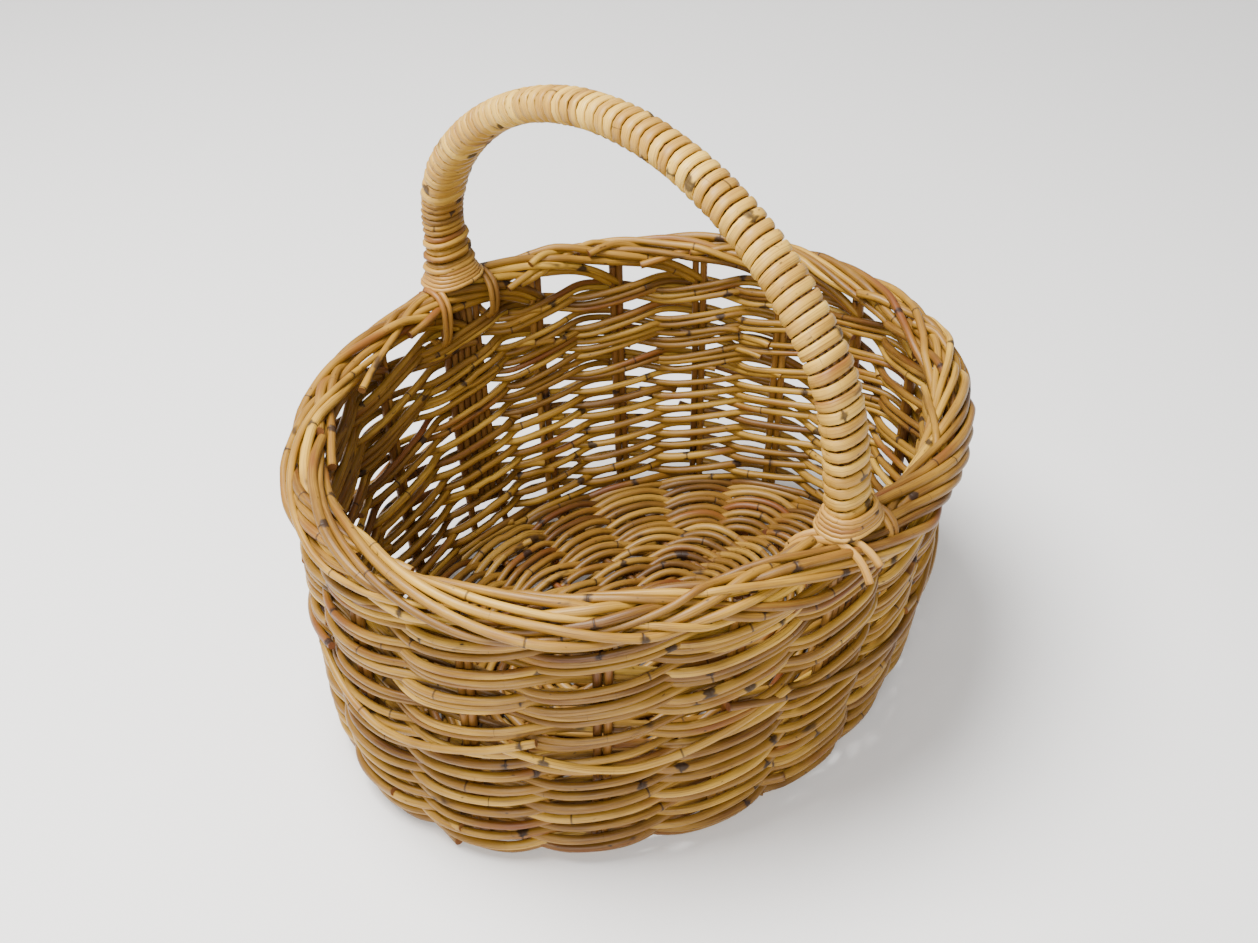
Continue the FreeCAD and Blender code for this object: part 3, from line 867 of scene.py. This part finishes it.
# %% Wind the strip and the thin cane at the far foot
BAND_PITCH = 6.9 * MM
BAND_WIDTH = 3.08 * MM
BAND_FLAT = 0.48
BAND_SIDES = 12
BAND_END = 8 * MM              # the strip ends this far above the near foot
FAR_THIN = 58 * MM             # the thin cane covers this much of the far foot
THIN_PITCH = 4.3 * MM
THIN_CANE = 2.1 * MM
LOOSE_PITCH = 8.6 * MM
LOOSE_CANE = 1.9 * MM
BAND_LOOSE, THIN_LOOSE, VERY_LOOSE = 0.22 * MM, 0.6 * MM, 0.9 * MM
band_half = WRAP_HALF - 1.2 * MM
thin_half = WRAP_HALF - 2.2 * MM
over_thin_half = thin_half + 1.6 * MM
bench = Bench("handle_wrapping_cane")
path = wound(FAR_THIN, handle_run[-1] - BAND_END, BAND_PITCH, band_half, BAND_LOOSE)
bench.roll(path, BAND_WIDTH, frames=facing_handle, flat=BAND_FLAT, sides=BAND_SIDES)
path = wound(3 * MM, FAR_THIN + 3 * MM, THIN_PITCH, thin_half, THIN_LOOSE)
bench.roll(path, THIN_CANE, tone=0.2, frames=facing_handle)
path = wound(6 * MM, 34 * MM, LOOSE_PITCH, over_thin_half, VERY_LOOSE)
bench.roll(path, LOOSE_CANE, tone=0.4)
bench.finish("handle_wrap_cane", "handle_wrapping")

# %% [markdown]
# ## Bindings at the handle's feet
# A few turns of round cane make a collar at each foot, and a doubled cane lashes the foot down
# to the border on either side.

# %% Collars
COLLAR = 1.6 * MM
COLLAR_TURNS = 5.3
COLLAR_CLIMB = 11 * MM
COLLAR_TILT = 1.5 * MM         # the lowest turn isn't level, because the border under it isn't
COLLAR_STEP = math.radians(12)
for node, side, widest in (("collar_far", 1, 0.42), ("collar_near", -1, 0.30)):
    bench = Bench(node + "_turns")
    low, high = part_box(node)
    angle = np.arange(0, COLLAR_TURNS * 2 * math.pi, COLLAR_STEP)
    climbed = angle / angle[-1]
    flare = 1 + widest * (1 - climbed) ** 1.3
    across, over = section_point(angle, WRAP_HALF + COLLAR * 0.6)
    middle = side * ARCH_SPAN + arch_lean(low.z)
    level = low.z + climbed * COLLAR_CLIMB + (1 - climbed) * COLLAR_TILT * np.sin(angle + 2)
    bench.roll(np.stack([across * flare, middle + over * flare, level], -1), COLLAR)
    bench.finish("binding_cane", node)

# %% Lashings
LASHING = 1.9 * MM
LOOP_TURNS = 1.85 * math.pi    # a loop doesn't quite close: its ends are tucked into the border
LOOP_START = 0.4 * math.pi
LOOP_STEP = math.radians(10)


def loop_round(node, droop):
    """Two turns round the border, side by side, hanging `droop` lower than the design's."""
    low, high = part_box(node)
    centre, half = (low + high) / 2, (high - low) / 2
    paths = []
    for beside in (-1, 1):
        angle = np.arange(0, LOOP_TURNS, LOOP_STEP) + LOOP_START + 0.05 * math.pi * beside
        across, over = section_point(angle, (half.y - LASHING, half.z - LASHING))
        over = np.where(over < 0, over * (1 + droop / half.z), over)
        slant_x = beside * LASHING * (1.1 - 0.5 * np.clip(-over / half.z, 0, 1))
        paths.append(np.stack([centre.x + slant_x, centre.y + across, centre.z + over], -1))
    return paths


def tie_over(points):
    """A cane laid smoothly through a few points, given in millimetres."""
    points = np.array(points, float) * MM
    at = np.linspace(0, len(points) - 1, 24)
    path = np.stack([np.interp(at, range(len(points)), points[:, i]) for i in range(3)], -1)
    for _ in range(5):
        path[1:-1] = (path[:-2] + 2 * path[1:-1] + path[2:]) / 4
    return path


DROOPS = {"lashing_far_left": 11 * MM, "lashing_far_right": 2 * MM, "lashing_near_right": 2 * MM}
for node, droop in DROOPS.items():
    bench = Bench(node + "_loops")
    for path in loop_round(node, droop):
        bench.roll(path, LASHING, tone=0.25)
    bench.finish("binding_cane", node)

# %% The ties at the near foot
NEAR_TIES = (
    ((-26, -146, 192), (-24, -150, 201), (-16, -158, 205.5),
     (-9, -172, 206), (-7, -185, 203), (-6.5, -192, 197)),
    ((-29, -147, 190), (-27, -152, 200), (-20, -161, 204.5),
     (-14, -175, 205), (-14, -187, 200), (-16, -194, 192)))
NEAR_TIE = 2.3 * MM
TIE_FLAT = 0.6
bench = Bench("lashing_near_left_ties")
for points in NEAR_TIES:
    bench.roll(tie_over(points), NEAR_TIE, tone=0.7, flat=TIE_FLAT)
bench.finish("binding_cane", "lashing_near_left")

# %% [markdown]
# ## What rattan looks like
# The skin of rattan is smooth and a little glossy, straw to honey brown, with fine lines along
# it. Dark rings mark its joints, and scorched patches show near them, where the canes were
# straightened over a flame. The pattern is read from the distances that each cane remembers,
# so that it runs along the cane whichever way it bends.

# %% A small language for shader maths
class Term:
    """A socket of a material, with arithmetic that adds the nodes it needs."""

    def __init__(self, tree, socket):
        self.tree, self.socket = tree, socket

    def math(self, operation, other=None, clamp=False):
        node = self.tree.nodes.new("ShaderNodeMath")
        node.operation, node.use_clamp = operation, clamp
        for i, value in enumerate((self, other)):
            if isinstance(value, Term):
                self.tree.links.new(value.socket, node.inputs[i])
            elif value is not None:
                node.inputs[i].default_value = value
        return Term(self.tree, node.outputs[0])

    def __add__(self, other): return self.math("ADD", other)
    def __radd__(self, other): return self.math("ADD", other)
    def __mul__(self, other): return self.math("MULTIPLY", other)
    def __rmul__(self, other): return self.math("MULTIPLY", other)
    def __sub__(self, other): return self.math("SUBTRACT", other)
    def __rsub__(self, other): return (self * -1).math("ADD", other)
    def __abs__(self): return self.math("ABSOLUTE")
    def clamp(self): return self.math("ADD", 0.0, clamp=True)

    def ramp(self, low, high):
        """0 at `low` and 1 at `high`, smooth between."""
        sockets = {"Value": self, "From Min": low, "From Max": high}
        settings = {"interpolation_type": "SMOOTHSTEP"}
        return Paint(self.tree).node("ShaderNodeMapRange", settings, sockets)


class Paint:
    """Adds nodes to one material."""

    def __init__(self, tree):
        self.tree = tree

    def node(self, kind, settings, sockets, output=0):
        node = self.tree.nodes.new(kind)
        for name, value in settings.items():
            setattr(node, name, value)
        for name, value in sockets.items():
            target = node.inputs[name]
            if isinstance(value, Term):
                self.tree.links.new(value.socket, target)
            else:
                target.default_value = value
        return Term(self.tree, node.outputs[output])

    def field(self, name, output="Fac"):
        """What each point of a cane remembers under this name."""
        return self.node("ShaderNodeAttribute", {"attribute_name": name}, {}, output)

    def noise(self, vector, scale, stretch, detail=3.0, roughness=0.55):
        """Noise whose spots are `stretch` times as long along the cane as across it."""
        squeezed = self.node("ShaderNodeVectorMath", {"operation": "MULTIPLY"},
                             {0: vector, 1: (scale, scale, scale / stretch)})
        sockets = {"Vector": squeezed, "Scale": 1.0, "Detail": detail, "Roughness": roughness}
        return self.node("ShaderNodeTexNoise", {}, sockets)

    def mix(self, amount, first, second):
        """`first` where the amount is 0 and `second` where it is 1."""
        node = self.tree.nodes.new("ShaderNodeMix")
        node.data_type = "RGBA"
        for index, value in ((0, amount), (6, first), (7, second)):
            if isinstance(value, Term):
                self.tree.links.new(value.socket, node.inputs[index])
            else:
                node.inputs[index].default_value = value
        return Term(self.tree, node.outputs[2])


# %% Colours
def rgb(*screen):
    """A colour from its red, green and blue, each from 0 to 255 as a screen shows them."""
    shares = [v / 255 for v in screen]
    linear = [v / 12.92 if v <= 0.04045 else ((v + 0.055) / 1.055) ** 2.4 for v in shares]
    return (*linear, 1.0)


SCORCH = rgb(34, 19, 11)
RUSSET = rgb(106, 52, 22)
print("scorch", [round(v, 4) for v in SCORCH[:3]], "russet", [round(v, 4) for v in RUSSET[:3]])

# %% [markdown]
# ## Layers of the rattan
# The material is built up as the cane itself was coloured. First come broad tones, from the
# tone of the whole cane and slow changes along it. Fine lines and reddish stains follow the
# grain. Joints, scorch marks and specks come last, with the dull, open grain of a cut end.
# A picture wrapped round each cane would need unrolling, so the layers are worked out instead.

# %% Rattan
SPECULAR = 0.32
BUMP_STRENGTH = 0.6
BUMP_DEPTH = 0.3 * MM


def rattan(name, light, middle, deep, gloss=0.43, marks=1.0):
    """A material in three tones. `marks` is how much of the stains and scorching it has."""
    material = bpy.data.materials.new(name)
    material.use_nodes = True
    tree = material.node_tree
    shader = tree.nodes["Principled BSDF"]
    paint = Paint(tree)
    grain, tone = paint.field("grain", "Vector"), paint.field("tone")
    joint, cut = abs(paint.field("joint")), paint.field("cut")

    # broad tones
    patches = paint.noise(grain, 60.0, 2.5)
    drift = paint.noise(grain, 14.0, 1.5, 1.0)
    shade = (tone * 0.6 + drift * 0.8 + (patches - 0.5) * 0.9 - 0.2).clamp()
    colour = paint.mix(shade.ramp(0.0, 0.55), deep, middle)
    colour = paint.mix(shade.ramp(0.45, 1.0), colour, light)

    # lines and stains along the grain
    streaks = paint.noise(grain, 1700.0, 70.0, 2.0)
    fibres = paint.noise(grain, 5200.0, 90.0, 2.0)
    colour = paint.mix((streaks.ramp(0.5, 0.74) * 0.72).clamp(), colour, deep)
    colour = paint.mix((fibres.ramp(0.35, 0.7) * 0.22).clamp(), colour, light)
    lines = paint.noise(grain, 2600.0, 220.0, 1.0).ramp(0.6, 0.68)
    colour = paint.mix((lines * 0.45 * marks).clamp(), colour, RUSSET)
    reddish = paint.noise(grain, 45.0, 4.0, 2.0).ramp(0.56, 0.72)
    colour = paint.mix((reddish * 0.75 * marks).clamp(), colour, RUSSET)

    # joints, scorch marks and specks
    ring = 1 - joint.ramp(0.25 * MM, 0.85 * MM)
    halo = 1 - joint.ramp(0.5 * MM, 9.0 * MM)
    sooty = paint.noise(grain, 110.0, 2.5, 3.0)
    long_burn = paint.noise(grain, 26.0, 2.0, 4.0, 0.7).ramp(0.635, 0.70)
    near_joints = (halo * 0.37 + sooty).ramp(0.84, 0.95)
    burnt = (near_joints + ring * 0.8 + long_burn * 0.9).clamp() * marks
    speck = paint.noise(grain, 420.0, 2.0, 1.0).ramp(0.72, 0.8) * 0.7
    colour = paint.mix((burnt * 0.9 + speck * marks).clamp(), colour, SCORCH)

    # cut ends
    end_grain = 1 - cut.ramp(0.05 * MM, 0.35 * MM)
    near_end = 1 - cut.ramp(0.2 * MM, 2.4 * MM)
    colour = paint.mix((near_end * 0.35).clamp(), colour, SCORCH)
    colour = paint.mix((end_grain * 0.6).clamp(), colour, RUSSET)

    # relief and gloss
    height = streaks * 0.35 + fibres * 0.25 + patches * 0.4 - ring * 0.9
    relief = {"Height": height, "Strength": BUMP_STRENGTH, "Distance": BUMP_DEPTH}
    bump = paint.node("ShaderNodeBump", {}, relief)
    rough = gloss + (streaks - 0.5) * 0.25 + burnt * 0.12 + end_grain * 0.3
    tree.links.new(colour.socket, shader.inputs["Base Color"])
    tree.links.new(rough.clamp().socket, shader.inputs["Roughness"])
    tree.links.new(bump.socket, shader.inputs["Normal"])
    shader.inputs["Specular IOR Level"].default_value = SPECULAR
    return material


# %% One rattan for each use
COLOURS = {                    # a name, and a light, a middle and a deep tone
    "weave_cane": ("rattan_weavers", (190, 148, 56), (132, 94, 28), (74, 38, 11)),
    "stake_cane": ("rattan_stakes", (160, 116, 50), (122, 80, 30), (76, 42, 14)),
    "border_cane": ("rattan_border", (204, 160, 60), (138, 98, 30), (76, 42, 12)),
    "base_cane": ("rattan_base", (170, 130, 54), (122, 85, 29), (66, 36, 11)),
    "stick_cane": ("rattan_sticks", (136, 96, 40), (102, 66, 25), (62, 36, 12)),
    # core: its own cane colour, darkened as painted shade so the gaps between wrapping turns look
    # shadowed
    "core_cane": ("rattan_core_painted_shade", (146, 106, 48), (116, 76, 30), (72, 42, 16)),
    "binding_cane": ("rattan_bindings", (200, 156, 74), (158, 112, 44), (98, 60, 20)),
    "handle_wrap_cane": ("rattan_wrapping", (226, 184, 82), (166, 121, 43), (98, 62, 20)),
}
WRAP_SKIN = {"gloss": 0.45, "marks": 0.95}
FINISHES = {}
for slot, (name, *tones) in COLOURS.items():
    skin = WRAP_SKIN if slot == "handle_wrap_cane" else {}
    FINISHES[slot] = rattan(name, *(rgb(*tone) for tone in tones), **skin)
print("finishes:", ", ".join(FINISHES))

# %% Give every piece its finish
for piece in bpy.data.objects:
    if piece.get("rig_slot") in FINISHES:
        piece.data.materials.append(FINISHES[piece["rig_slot"]])

# %% [markdown]
# ## The table, the light and the camera
# A plain pale sweep under a large soft light shows the weave best. The camera looks down into
# the basket from one corner, so the wall's outside, its inside and the base all show.

# %% Table
TABLE_HALF = 4.0
bm = bmesh.new()
bmesh.ops.create_grid(bm, x_segments=2, y_segments=2, size=TABLE_HALF)
table_mesh = bpy.data.meshes.new("table")
bm.to_mesh(table_mesh)
bm.free()
table = bpy.data.objects.new("table", table_mesh)
bpy.context.scene.collection.objects.link(table)
pale = bpy.data.materials.new("pale_table")
pale.use_nodes = True
PALE = {"Base Color": rgb(236, 234, 231), "Roughness": 0.6,
        "Emission Color": rgb(240, 239, 236), "Emission Strength": 0.16}
for socket, value in PALE.items():
    pale.node_tree.nodes["Principled BSDF"].inputs[socket].default_value = value
table_mesh.materials.append(pale)


# %% Light
LIT_POINT = Vector((0, 0, 0.1))
ROOM_LIGHT = 0.52


def soft_light(name, place, size, power):
    """A round lamp, `size` metres across, that faces the basket's middle."""
    light = bpy.data.lights.new(name, "AREA")
    light.shape, light.size, light.energy = "DISK", size, power
    lamp = bpy.data.objects.new(name, light)
    lamp.location = place
    lamp.rotation_euler = (Vector(place) - LIT_POINT).to_track_quat("Z", "Y").to_euler()
    bpy.context.scene.collection.objects.link(lamp)


soft_light("overhead", (-0.5, 0.3, 1.8), size=1.1, power=98)
soft_light("window", (-1.6, -1.2, 1.3), size=0.8, power=34)
world = bpy.data.worlds.new("room")
world.use_nodes = True
background = world.node_tree.nodes["Background"]
background.inputs["Color"].default_value = rgb(240, 241, 244)
background.inputs["Strength"].default_value = ROOM_LIGHT
bpy.context.scene.world = world

# %% Camera
SENSOR = 36.0                  # sensor width and focal length, in mm
LENS = 45.79
CAMERA_PLACE = (-0.5182, -0.5624, 0.7282)
TURN, DOWN = math.radians(-42.42), math.radians(37.25)
camera_data = bpy.data.cameras.new("camera")
camera_data.sensor_width, camera_data.lens = SENSOR, LENS
camera = bpy.data.objects.new("camera", camera_data)
camera.location = CAMERA_PLACE
camera.rotation_euler = (math.pi / 2 - DOWN, 0, TURN)
bpy.context.scene.collection.objects.link(camera)
bpy.context.scene.camera = camera
